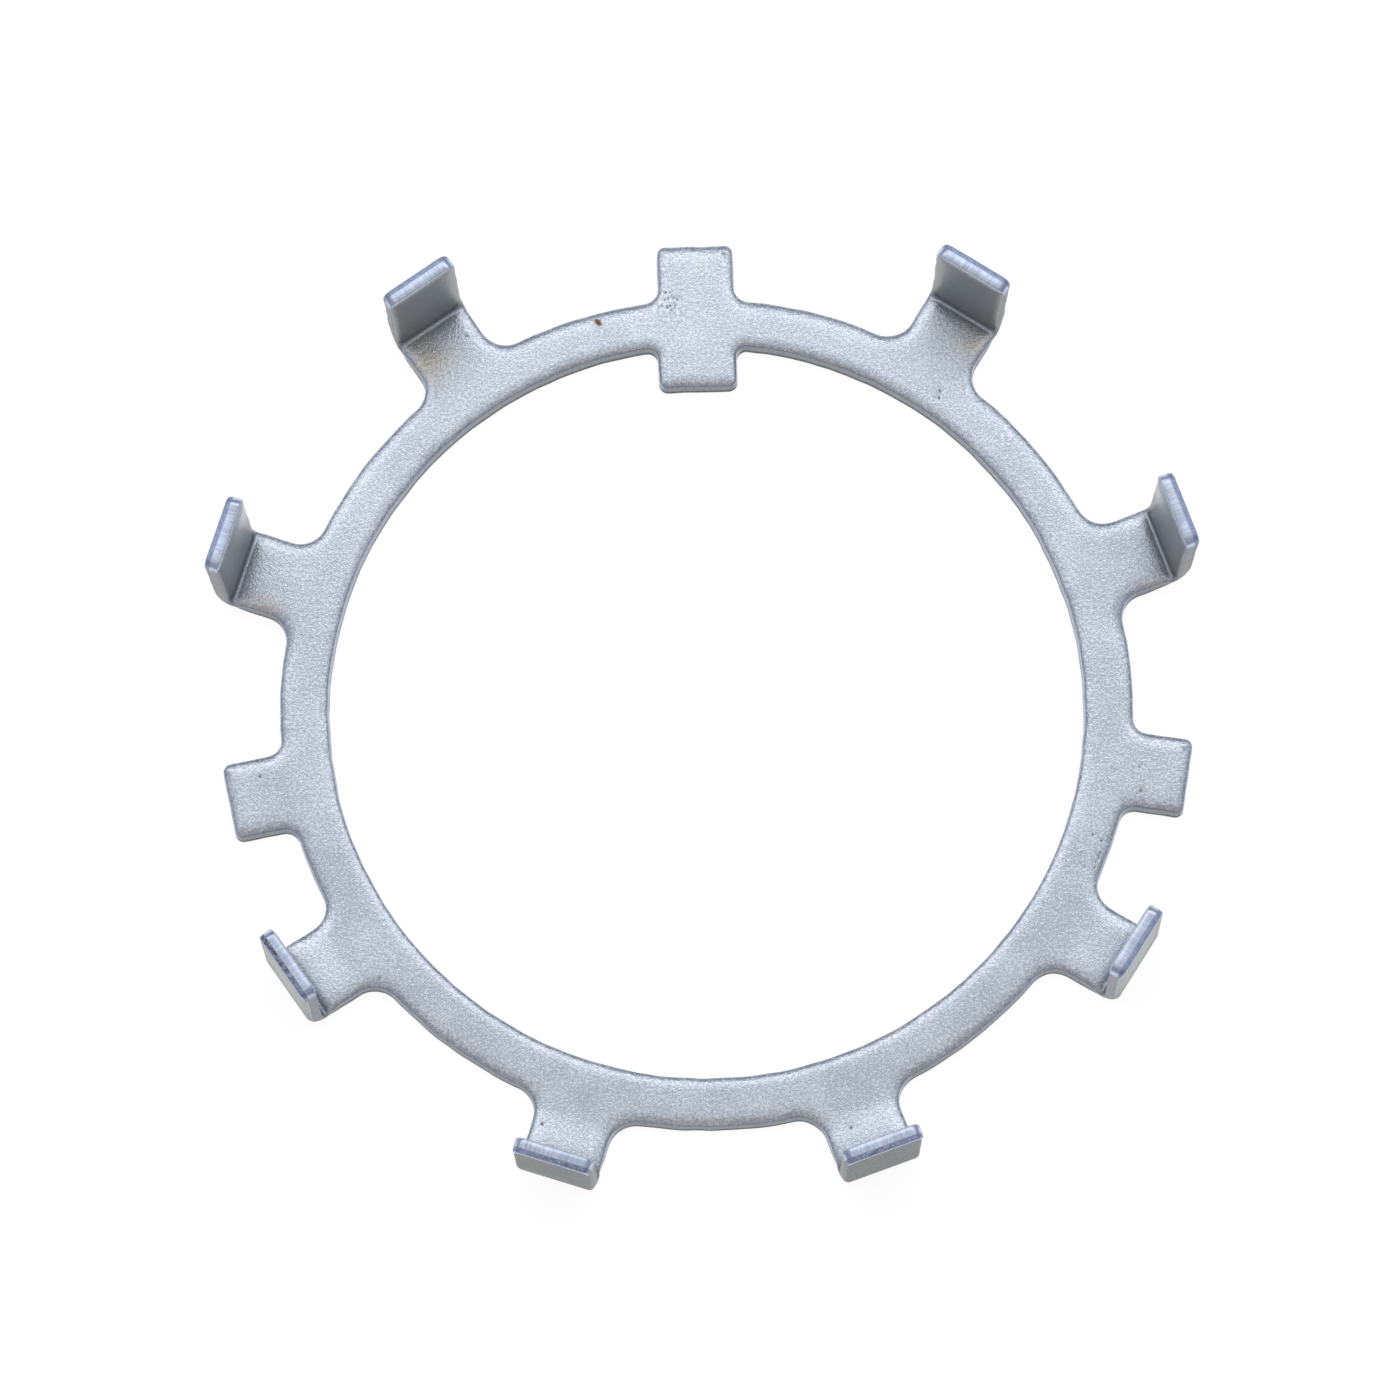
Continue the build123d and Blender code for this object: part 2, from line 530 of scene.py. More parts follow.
class Wear(Enum):
    """What a patch does to the steel: the name of the attribute that holds it."""

    FILM = "bloom"                  # a pale golden tint on the pebbles: fine rust, partly a painted warm glint
    TORN_RUST = "tear_rust"         # rust in the torn zone's hollows
    POLISH_AND_FLOOR_LIGHT = "polish"               # lighter than its side of the sheet is elsewhere, with less crease shade: painted reflection of a lit floor, partly polish


@dataclass(frozen=True)
class Patch:
    """A soft-edged patch of wear, rust or painted reflection."""

    x: float
    y: float
    radius: float
    strength: float
    kind: Wear = Wear.FILM


@dataclass
class WasherBlank:
    """The washer's flat blank, with its sheared edge, before its tabs are bent."""

    bends: BendRule = field(default_factory=BendRule)
    rim_edge: ShearedEdge = ShearedEdge()
    bore_edge: ShearedEdge = ShearedEdge(roll_reach=1.05, roll_drop=0.38)
    bore_radius: float = 33.35
    rim_radius: float = 37.8
    key_width: float = 7.1
    key_reach: float = 4.05
    key_root_fillet: float = 0.9
    key_corner: float = 0.85
    flat_tab_width: float = 6.95
    flat_tab_reach: float = 5.2
    flat_tab_root_fillet: float = 1.3
    flat_tab_corner: float = 0.8
    bent_tab_width: float = 7.05
    bent_tab_root_fillet: float = 2.4
    bent_tab_corner: float = 0.95
    tabs: tuple[Tab, ...] = (
        Tab(0.0, shift=-0.12),
        Tab(33.76, 89.8, 0.06, 0.25),
        Tab(71.55, 89.9, 0.03, 0.35),
        Tab(100.47),
        Tab(124.06, 91.9, 0.19, 1.5),
        Tab(161.42, 90.1, -0.12, 1.25),
        Tab(198.61, 91.3, -0.18, 1.35),
        Tab(236.03, 92.2, 0.0, 0.9),
        Tab(259.64),
        Tab(288.46, 90.3, -0.03, 0.6),
        Tab(326.04, 89.8, 0.02, 0.45),
    )
    pits: tuple[Pit, ...] = ()
    patches: tuple[Patch, ...] = ()
    outline_step: float = 0.42
    crown_step: float = 0.24        # the spacing just before a bend
    crown_lead: float = 1.2         # how far before the bend that starts
    fine_step: float = 0.15
    punched_grid: float = 0.5
    burr_grid: float = 0.9
    bulge: float = 0.12             # how far a bend's inner side swells past the tab's side
    bulge_reach: float = 1.9        # how far along the tab the swelling goes
    waver: float = 0.03             # how far the outline wavers either way
    waver_inwards: float = 0.4      # how much of that the outline lies inwards on the whole
    outline_waves: Waves = ((14.0, 6.0, 0.5), (6.0, 3.0, 0.35), (3.0, 1.6, 0.2))
    tear_waves: Waves = ((9.0, 4.0, 0.45), (4.0, 1.8, 0.35), (1.8, 0.9, 0.3))
    leg_blend: float = 0.6          # how far either side of a bend's start flat and leg blend
    leg_margin: float = 1.0         # how far beside a tab the metal still counts as its leg
    tab_margin: float = 3.0         # how far beside it the crown and the shelter go
    bend_margin: float = 0.3        # how far beside it a point is still bent with it
    bend_lead: float = 0.5          # how far before the bend that starts
    mark_gap: float = 0.12          # how far the rolled edge's points keep from a dent's
    shoulder_slack: float = 0.985   # the share of its inset at which such a point is still kept
    near_share: float = 0.55        # how close two points may be, as a share of their spacing
    crease_shade_flat: float = 0.2     # how much painted shade, with dullness, the sheet takes in front of a leg
    crease_shade_leg: float = 0.96     # the same on a leg's inner face at its foot
    crease_shade_top: float = 0.86     # the share of that which is left higher up
    crease_shade_tip: float = 0.55     # the share of that again which is left at its tip
    crease_shade_reach: float = 1.3      # how far in front of a leg that starts
    crease_shade_close: float = 0.1      # how far in front of it that is at its dullest
    crease_shade_climb: float = 6.0      # how far in front of it the shade is darkest
    crease_shade_fade: float = 0.9       # how far from the tip it starts to fade
    crease_shade_end: float = 0.2        # and where that ends
    edge_polish: float = 0.3        # how much lighter the sheet is drawn along its rolled edge: partly tumbling's polish, partly a painted highlight
    polish_inset: float = 0.95      # how far from the edge that is strongest
    polish_reach: float = 0.5
    tip_reach: float = 1.3          # how far from its end a leg takes its tip's shape
    tip_full: float = 0.3           # and wholly so
    rub_reach: float = 1.15         # how far from its end a leg's tip is rubbed bright
    rub_full: float = 0.35          # and fully so
    side_highlight: float = 0.6           # painted highlight: how much brighter walls that face left or right are drawn
    side_power: int = 4             # how fast that falls off as a wall turns away
    seed: int = 7

    @property
    def thickness(self) -> float:
        """The sheet's thickness."""
        return self.rim_edge.thickness

    def flank_levels(self, tab: Tab, root: float, end: float) -> np.ndarray:
        """List the levels along a tab's sides, closer together in its bend.

        Args:
            tab: The tab.
            root: Where its straight sides start.
            end: Where they end.

        Returns:
            Distances from the bore's axis, without end.
        """
        if not tab.bend:
            return levels(root, end, self.outline_step)
        start = self.bends.start(tab)
        stop = start + self.bends.flat_length(tab)
        crowned = start - self.crown_lead
        return np.concatenate([
            levels(root, crowned, self.outline_step),
            levels(crowned, start, self.crown_step),
            levels(start, stop, self.fine_step),
            levels(stop, end, self.outline_step),
        ])

    def tab_shape(self, tab: Tab) -> tuple[float, float, float, float]:
        """Return a tab's half width, root fillet, corner radius and end."""
        if tab.bend:
            end = self.bends.blank_end(tab)
            return self.bent_tab_width / 2, self.bent_tab_root_fillet, self.bent_tab_corner, end
        end = self.rim_radius + self.flat_tab_reach + tab.shift
        return self.flat_tab_width / 2, self.flat_tab_root_fillet, self.flat_tab_corner, end

    def tab_root(self, tab: Tab) -> tuple[float, float]:
        """Return the centre of a tab's right root fillet, in the tab's own frame."""
        half, fillet, _, _ = self.tab_shape(tab)
        return half + fillet, sqrt((self.rim_radius + fillet) ** 2 - (half + fillet) ** 2)

    def tab_outline(self, tab: Tab) -> np.ndarray:
        """Sample a tab's outline anticlockwise, from one tangent point on the rim to the other."""
        half, fillet, corner, end = self.tab_shape(tab)
        root = self.tab_root(tab)
        sides = self.flank_levels(tab, root[1], end - corner)
        even = np.ones_like(sides)
        flank = np.column_stack([half * even, sides, even, 0 * even])
        right = np.vstack([
            arc(root, fillet, atan2(-root[1], -root[0]), -pi, self.outline_step, hollow=True),
            flank,
            arc((half - corner, end - corner), corner, 0, pi / 2, self.fine_step),
        ])
        crown = straight((half - corner, end), (corner - half, end), (0, 1), self.outline_step)
        left = np.vstack([right, crown[:1]])[:0:-1] * (-1, 1, -1, 1)
        return turned(np.vstack([right, crown, left]), tab.bearing)

    def rim(self) -> np.ndarray:
        """Sample the whole outer outline anticlockwise."""
        parts = []
        for tab, after in zip(self.tabs, self.tabs[1:] + self.tabs[:1]):
            parts.append(self.tab_outline(tab))
            root, root_after = self.tab_root(tab), self.tab_root(after)
            start = radians(tab.bearing + 90) + atan2(root[0], root[1])
            end = radians(after.bearing + 90) - atan2(root_after[0], root_after[1])
            if end < start:
                end += 2 * pi
            parts.append(arc((0, 0), self.rim_radius, start, end, self.outline_step))
        return np.vstack(parts)

    def bore(self) -> np.ndarray:
        """Sample the bore's outline clockwise, with the key that stands into it."""
        half, fillet, corner = self.key_width / 2, self.key_root_fillet, self.key_corner
        end = self.bore_radius - self.key_reach
        side = half + fillet
        root = sqrt((self.bore_radius - fillet) ** 2 - side ** 2)
        tangent = atan2(root, side)
        step, fine = self.outline_step, self.fine_step
        return np.vstack([
            arc((-side, root), fillet, pi - tangent, 0, fine, hollow=True),
            straight((-half, root), (-half, end + corner), (-1, 0), step),
            arc((corner - half, end + corner), corner, pi, 1.5 * pi, fine),
            straight((corner - half, end), (half - corner, end), (0, -1), step),
            arc((half - corner, end + corner), corner, -pi / 2, 0, fine),
            straight((half, end + corner), (half, root), (1, 0), step),
            arc((side, root), fillet, pi, tangent, fine, hollow=True),
            arc((0, 0), self.bore_radius, tangent, -pi - tangent, step, hollow=True),
        ])

    def along_tabs(self, points: np.ndarray, margin: float) -> list[tuple[Tab, np.ndarray, np.ndarray]]:
        """Place points along each bent tab.

        Args:
            points: The points, as x and y.
            margin: How far beside a tab's sides a point still counts as the tab's.

        Returns:
            Each bent tab, which points are beside its middle line, and how far past the start of its
            bend each one lies.
        """
        reach = self.bent_tab_width / 2 + margin
        return [
            (tab, np.abs(points @ tab.across) < reach, points @ tab.reach - self.bends.start(tab))
            for tab in self.tabs if tab.bend
        ]

    def bend_share(self, points: np.ndarray) -> np.ndarray:
        """Tell how far points lie in a bend: 1 at its middle, 0 well outside it."""
        share = np.zeros(len(points))
        for tab, mine, past in self.along_tabs(points, self.leg_margin):
            along = (past - self.bends.flat_length(tab) / 2) / self.bulge_reach
            share += mine * np.exp(-along ** 2)
        return share

    def leg_share(self, points: np.ndarray) -> np.ndarray:
        """Tell how far points belong to a leg: 0 on the flat, 1 past the start of its bend."""
        near = self.along_tabs(points, self.leg_margin)
        return sum(mine * eased(past, -self.leg_blend, self.leg_blend) for _, mine, past in near)

    def tip_share(self, points: np.ndarray) -> np.ndarray:
        """Tell how far points belong to a leg's tip: 1 along its end, 0 further down."""
        share = np.zeros(len(points))
        for tab, mine, past in self.along_tabs(points, self.leg_margin):
            end = self.bends.blank_end(tab) - self.bends.start(tab)
            share += mine * eased(past, end - self.tip_reach, end - self.tip_full)
        return share

    def raised(self, points: np.ndarray) -> np.ndarray:
        """Tell how far points are raised where a tab crowns before its bend and thins in it.

        Args:
            points: Rows of x, y and depth.

        Returns:
            The height of each point above its place in an even sheet.
        """
        lift = np.zeros(len(points))
        low = points[:, 2] / self.thickness
        for tab, mine, past in self.along_tabs(points[:, :2], self.tab_margin):
            lift += mine * tab.crown * self.bends.crown(past)
            lift += mine * low * self.bends.thinning(past, self.bends.flat_length(tab))
        return lift

    @staticmethod
    def wander(outline: np.ndarray, seed: int, waves: Waves) -> np.ndarray:
        """Make an uneven line round an outline that closes on itself.

        Args:
            outline: The outline's rows.
            seed: The random seed.
            waves: The longest and shortest wave of each group, and the group's share.

        Returns:
            A number between about -1 and 1 for each row.
        """
        gaps = np.hypot(*(np.roll(outline[:, :2], -1, axis=0) - outline[:, :2]).T)
        total = gaps.sum()
        along = np.concatenate([[0], np.cumsum(gaps)[:-1]]) * 2 * pi / total
        chance = np.random.default_rng(seed)
        line = np.zeros(len(outline))
        for longest, shortest, share in waves:
            for _ in range(WAVES_PER_GROUP):
                turns = round(total / chance.uniform(shortest, longest))
                line += share * WAVE_SHARE * np.sin(turns * along + chance.uniform(0, 2 * pi))
        return np.clip(line, -WAVE_LIMIT, WAVE_LIMIT)

    def uneven(self, outline: np.ndarray, seed: int) -> np.ndarray:
        """Let an outline waver, a little inwards on the whole.

        Args:
            outline: The outline's rows.
            seed: The random seed.

        Returns:
            The outline's rows, with its points moved.
        """
        inwards = self.waver * (self.waver_inwards - self.wander(outline, seed, self.outline_waves))
        moved = outline.copy()
        moved[:, :2] -= outline[:, 2:] * inwards[:, None]
        return moved

    def rings(self, outline: np.ndarray, edge: ShearedEdge, seed: int) -> np.ndarray:
        """Sweep a sheared edge's section round an outline.

        Args:
            outline: The outline's rows.
            edge: The edge.
            seed: The random seed of the torn zone's line.

        Returns:
            An array of section points by outline points by x, y and depth.
        """
        flat = outline[:, :2]
        line = self.wander(outline, seed, self.tear_waves)
        leg = self.leg_share(flat)
        insets, depths = edge.section(leg, self.tip_share(flat), line, edge.spread(outline[:, 2:], leg))
        swell = self.bulge * self.bend_share(flat) * (1 - 2 * depths / self.thickness)
        places = flat - outline[:, 2:] * (insets - swell)[:, :, None]
        return np.concatenate([places, depths[:, :, None]], axis=2)

    @staticmethod
    def nearest(points: np.ndarray, outlines: list[np.ndarray]) -> tuple[np.ndarray, np.ndarray]:
        """Find how far points lie from the nearest outline, and which way it faces there.

        Args:
            points: The points, as x and y.
            outlines: The outlines' rows.

        Returns:
            The distance of each point, and the direction out of the metal at the outline.
        """
        rows = np.vstack(outlines)
        starts = rows[:, :2]
        spans = np.vstack([np.roll(outline[:, :2], -1, axis=0) for outline in outlines]) - starts
        squares = (spans ** 2).sum(axis=1)
        gaps = np.zeros(len(points))
        facing = np.zeros((len(points), 2))
        for first in range(0, len(points), BLOCK):
            some = slice(first, first + BLOCK)
            away = points[some, None] - starts
            share = np.clip((away * spans).sum(axis=2) / squares, 0, 1)
            squared = ((away - share[:, :, None] * spans) ** 2).sum(axis=2)
            gaps[some] = np.sqrt(squared.min(axis=1))
            facing[some] = rows[squared.argmin(axis=1), 2:]
        return gaps, facing

    def shoulders(self, outlines: list[np.ndarray]) -> np.ndarray:
        """List points along the gentle start of the rolled edge, as x and y."""
        kept = []
        for outline, edge in zip(outlines, (self.rim_edge, self.bore_edge)):
            shift = (1 - edge.flare_base) * edge.spread(outline[:, 2:], self.leg_share(outline[:, :2]))
            for inset in edge.shoulder_insets:
                away = inset + shift
                points = outline[:, :2] - outline[:, 2:] * away[:, None]
                kept.append(points[self.nearest(points, outlines)[0] > self.shoulder_slack * away])
        return np.vstack(kept)

    def drop(self, points: np.ndarray, outlines: list[np.ndarray]) -> np.ndarray:
        """Tell how far the punched side has dropped at points, by their distance from both edges."""
        leg = self.leg_share(points)
        drops = []
        for outline, edge in zip(outlines, (self.rim_edge, self.bore_edge)):
            inset, facing = self.nearest(points, [outline])
            drops.append(edge.drop(inset - (1 - edge.flare_base) * edge.spread(facing, leg)))
        return np.maximum(*drops) * self.rim_edge.roll_share(self.tip_share(points))

    def inner_points(self, loops: list[np.ndarray], step: float, marks: np.ndarray) -> np.ndarray:
        """Spread points over one side of the sheet, inside its innermost rings.

        Args:
            loops: The innermost ring of each outline, as x and y.
            step: Their spacing.
            marks: Points that are already placed, as x and y.

        Returns:
            The marks and the new points, as x and y.
        """
        spread = []
        for radius in levels(self.bore_radius + step, self.rim_radius + step, step):
            count = round(2 * pi * radius / step)
            angle = 2 * pi * (np.arange(count) + 0.5) / count
            spread.append(np.column_stack([np.cos(angle), np.sin(angle)]) * radius)
        half = self.key_width / 2
        rows = levels(self.bore_radius - self.key_reach, self.bore_radius, step)
        spread.append(np.array([(u, v) for v in rows for u in np.arange(-half, half, step)]))
        grids = []
        for tab in self.tabs:
            half, fillet, corner, end = self.tab_shape(tab)
            root = self.tab_root(tab)[1]
            rows = np.concatenate([
                levels(self.rim_radius - step, root, step),
                self.flank_levels(tab, root, end - corner),
                levels(end - corner, end, self.outline_step),
            ])
            columns = np.linspace(-half - fillet, half + fillet, 2 * round((half + fillet) / step) + 1)
            grids.append(turned(np.array([(u, v) for v in rows for u in columns]), tab.bearing))
        near = self.near_share * step
        placed = {tuple(cell) for cell in np.round(marks / near).astype(int)} if len(marks) else set()
        kept = [marks] if len(marks) else []
        for group in grids + spread:
            group = group[self.clear_inside(group, loops, near)]
            fresh = []
            for point, cell in zip(group, np.round(group / near).astype(int)):
                x, y = int(cell[0]), int(cell[1])
                around = ((x + i, y + j) for i in (-1, 0, 1) for j in (-1, 0, 1))
                if not any(spot in placed for spot in around):
                    fresh.append(point)
            if fresh:
                kept.append(np.array(fresh))
                placed |= {tuple(cell) for cell in np.round(kept[-1] / near).astype(int).tolist()}
        return np.vstack(kept)

    @staticmethod
    def clear_inside(points: np.ndarray, loops: list[np.ndarray], margin: float) -> np.ndarray:
        """Tell which points lie on the metal and clear of its outlines.

        Args:
            points: The points, as x and y.
            loops: The outlines, as x and y.
            margin: How far from an outline's points they keep; 0 tests the inside alone.

        Returns:
            True for each point that lies well inside.
        """
        starts = np.vstack(loops)
        ends = np.vstack([np.roll(loop, -1, axis=0) for loop in loops])
        inside = np.zeros(len(points), bool)
        for first in range(0, len(points), BLOCK):
            some = slice(first, first + BLOCK)
            x, y = points[some, :1], points[some, 1:]
            spans = (starts[:, 1] > y) != (ends[:, 1] > y)
            rise = ends[:, 1] - starts[:, 1]
            rise = np.where(rise == 0, TINY, rise)
            cut = starts[:, 0] + (y - starts[:, 1]) * (ends[:, 0] - starts[:, 0]) / rise
            well = (spans & (x < cut)).sum(axis=1) % 2 == 1
            if margin:
                gap = (starts[:, 0] - x) ** 2 + (starts[:, 1] - y) ** 2
                well &= gap.min(axis=1) > margin ** 2
            inside[some] = well
        return inside

    def filled(self, loops: list[np.ndarray], inner: np.ndarray) -> list[tuple[int, int, int]]:
        """Cover one side of the sheet with triangles.

        Args:
            loops: The innermost ring of each outline, as x and y.
            inner: The points inside them.

        Returns:
            Triangles that number the loops' points in order, then the inner ones, facing up.
        """
        points = np.vstack(loops + [inner])
        edges = []
        first = 0
        for loop in loops:
            count = len(loop)
            edges += [(first + k, first + (k + 1) % count) for k in range(count)]
            first += count
        corners = [Vector((float(x), float(y))) for x, y in points]
        found, _, faces, origin, _, _ = delaunay_2d_cdt(corners, edges, [], 0, MERGE)
        if len(found) != len(points):
            log.warning("the fill has %d points for %d", len(found), len(points))
        faces = np.array([[origin[k][0] for k in face] for face in faces])
        middle = points[faces].mean(axis=1)
        faces = faces[self.clear_inside(middle, loops, 0)]
        a, b, c = points[faces[:, 0]], points[faces[:, 1]], points[faces[:, 2]]
        area = (b[:, 0] - a[:, 0]) * (c[:, 1] - a[:, 1]) - (b[:, 1] - a[:, 1]) * (c[:, 0] - a[:, 0])
        faces[area < 0] = faces[area < 0][:, ::-1]
        return faces.tolist()

    def walls(
        self, ring: np.ndarray, edge: ShearedEdge, outline: np.ndarray, first: int
    ) -> tuple[list[list[int]], list[bool]]:
        """Join an edge's rings of points with faces.

        Args:
            ring: The rings, from the punched side to the burr side.
            edge: The edge.
            outline: The outline's rows.
            first: The number of the rings' first point.

        Returns:
            The faces, and for each one whether it is sheared.
        """
        rows, count, _ = ring.shape
        # The sheared edge's dark colours reach up over the roll's last rows, as painted shade.
        cut = range(len(edge.roll_insets) - 1 - edge.shaded_rows, rows - len(edge.break_turns))
        tips = self.tip_share(outline[:, :2]) > 0.5
        here = np.arange(count)
        ahead = (here + 1) % count
        faces, sheared = [], []
        for row in range(rows - 1):
            upper, lower = first + row * count, first + (row + 1) * count
            faces += np.column_stack([upper + here, lower + here, lower + ahead, upper + ahead]).tolist()
            sheared += [row in cut or (row >= cut.stop and bool(tip)) for tip in tips]
        return faces, sheared

    def punched_spots(self, outlines: list[np.ndarray]) -> np.ndarray:
        """List the points of the dents and of the rolled edge's start, as x, y, depth and rust."""
        marks = np.vstack([np.zeros((0, 4))] + [pit.points() for pit in self.pits])
        shoulders = self.shoulders(outlines)
        away = np.hypot(*(shoulders[:, None] - marks[None, :, :2]).transpose(2, 0, 1))
        shoulders = shoulders[away.min(axis=1, initial=np.inf) > self.mark_gap]
        return np.vstack([marks, np.hstack([shoulders, np.zeros_like(shoulders)])])

    def mesh(self) -> bpy.types.Mesh:
        """Build the blank's mesh with the attributes that bend and dress it."""
        edges = (self.rim_edge, self.bore_edge)
        drawn = enumerate((self.rim(), self.bore()), self.seed + len(edges))
        outlines = [self.uneven(outline, seed) for seed, outline in drawn]
        pairs = enumerate(zip(outlines, edges), self.seed)
        rings = [self.rings(outline, edge, seed) for seed, (outline, edge) in pairs]
        points, faces, sheared, firsts = [], [], [], []
        total = 0
        for ring, edge, outline in zip(rings, edges, outlines):
            quads, cut = self.walls(ring, edge, outline, total)
            faces += quads
            sheared += cut
            points.append(ring.reshape(-1, 3))
            firsts.append(total)
            total += len(points[-1])

        spots = self.punched_spots(outlines)
        marked = total, spots[:, 3]
        for side in Side:
            punched = side is Side.PUNCHED
            row = 0 if punched else -1
            loops = [ring[row, :, :2] for ring in rings]
            step = self.punched_grid if punched else self.burr_grid
            inner = self.inner_points(loops, step, spots[:, :2] if punched else spots[:0, :2])
            numbers = [
                first + (row % len(ring)) * ring.shape[1] + np.arange(ring.shape[1])
                for first, ring in zip(firsts, rings)
            ]
            numbers = np.concatenate(numbers + [total + np.arange(len(inner))])
            cover = numbers[np.array(self.filled(loops, inner))]
            faces += cover.tolist() if punched else cover[:, ::-1].tolist()
            sheared += [False] * len(cover)
            depth = np.full(len(inner), self.thickness)
            if punched:
                depth = self.drop(inner, outlines)
                depth[:len(spots)] += spots[:, 2]
            points.append(np.column_stack([inner, depth]))
            total += len(inner)

        points = np.vstack(points)
        mesh = bpy.data.meshes.new(NODE + "_dressed")
        heights = self.thickness - points[:, 2] + self.raised(points)
        mesh.from_pydata((np.column_stack([points[:, :2], heights]) * MM).tolist(), [], faces)
        mesh.shade_smooth()
        self.write_attributes(mesh, points, np.array(sheared), marked, outlines)
        mesh.validate()
        return mesh

    def write_attributes(
        self,
        mesh: bpy.types.Mesh,
        points: np.ndarray,
        sheared: np.ndarray,
        marked: tuple[int, np.ndarray],
        outlines: list[np.ndarray],
    ) -> None:
        """Store what the bending tree and the materials read.

        Args:
            mesh: The blank's mesh.
            points: Its points as x, y and depth.
            sheared: True for each face of the sheared edge.
            marked: The number of the first dent point, and the rust of each one.
            outlines: The outlines' rows.
        """
        flat = points[:, :2]
        reach = np.zeros((len(points), 3))
        names = ["turn", "shift", "shelter", "rub", "stain"] + [kind.value for kind in Wear]
        numbers = {name: np.zeros(len(points)) for name in names}
        numbers["depth"] = np.clip(points[:, 2] / self.thickness, 0, 1)
        numbers["flank"] = self.leg_share(flat) * (1 - self.tip_share(flat))
        for tab, mine, past in self.along_tabs(flat, self.bend_margin):
            bent = mine & (past > -self.bend_lead)
            reach[bent, :2] = tab.reach
            numbers["turn"][bent] = radians(tab.bend)
            numbers["shift"][bent] = tab.shift * MM
        # Painted shade, also read as dullness: darker in front of each leg and on its inner face, where the
        # leg shades the sheet. The legs' tips are rubbed bright.
        for tab, mine, past in self.along_tabs(flat, self.tab_margin):
            length = self.bends.flat_length(tab)
            end = self.bends.blank_end(tab) - self.bends.start(tab)
            fading = eased(past, end - self.crease_shade_fade, end - self.crease_shade_end)
            tucked = self.crease_shade_flat * eased(past, -self.crease_shade_reach, -self.crease_shade_close)
            tucked += (self.crease_shade_leg - self.crease_shade_flat) * eased(past, 0.0, length)
            tucked *= 1 - (1 - self.crease_shade_top) * eased(past, length, length + self.crease_shade_climb)
            tucked *= 1 - (1 - self.crease_shade_tip) * fading
            numbers["shelter"] += mine * tucked
            numbers["rub"] += mine * eased(past, end - self.rub_reach, end - self.rub_full)
        numbers["stain"][marked[0]:marked[0] + len(marked[1])] = marked[1]
        for patch in self.patches:
            gap = np.hypot(flat[:, 0] - patch.x, flat[:, 1] - patch.y) / patch.radius
            name = patch.kind.value
            numbers[name] = np.maximum(numbers[name], patch.strength * np.exp(-gap ** 2))
        inset, facing = self.nearest(flat, outlines)
        level = 1 - self.leg_share(flat)
        # A painted highlight along the rolled edge, partly tumbling's polish.
        along_edge = np.exp(-((inset - self.polish_inset) / self.polish_reach) ** 2)
        numbers["edge_polish"] = self.edge_polish * along_edge * level
        # Painted highlight: walls that face left or right are drawn brighter.
        numbers["rub"] += self.side_highlight * facing[:, 0] ** self.side_power * level
        blank = np.column_stack([flat, self.thickness - points[:, 2]])
        layers = [(name, "FLOAT", "POINT", "value", values) for name, values in numbers.items()]
        layers += [
            ("reach", "FLOAT_VECTOR", "POINT", "vector", reach),
            ("blank", "FLOAT_VECTOR", "POINT", "vector", blank),
            ("sheared", "BOOLEAN", "FACE", "value", sheared),
        ]
        for name, kind, domain, key, values in layers:
            kept = values if kind == "BOOLEAN" else values.astype(np.float32).ravel()
            mesh.attributes.new(name, kind, domain).data.foreach_set(key, kept)


@dataclass(frozen=True)
class Grain:
    """A pattern of spots: how large one is, how many finer sizes it adds, and how strong those are."""

    spot_mm: float
    detail: float
    finer: float

    def inputs(self) -> dict[str, float]:
        """Return the pattern's numbers by the names that the noise knows them by."""
        return {"Scale": 1 / self.spot_mm, "Detail": self.detail, "Roughness": self.finer}


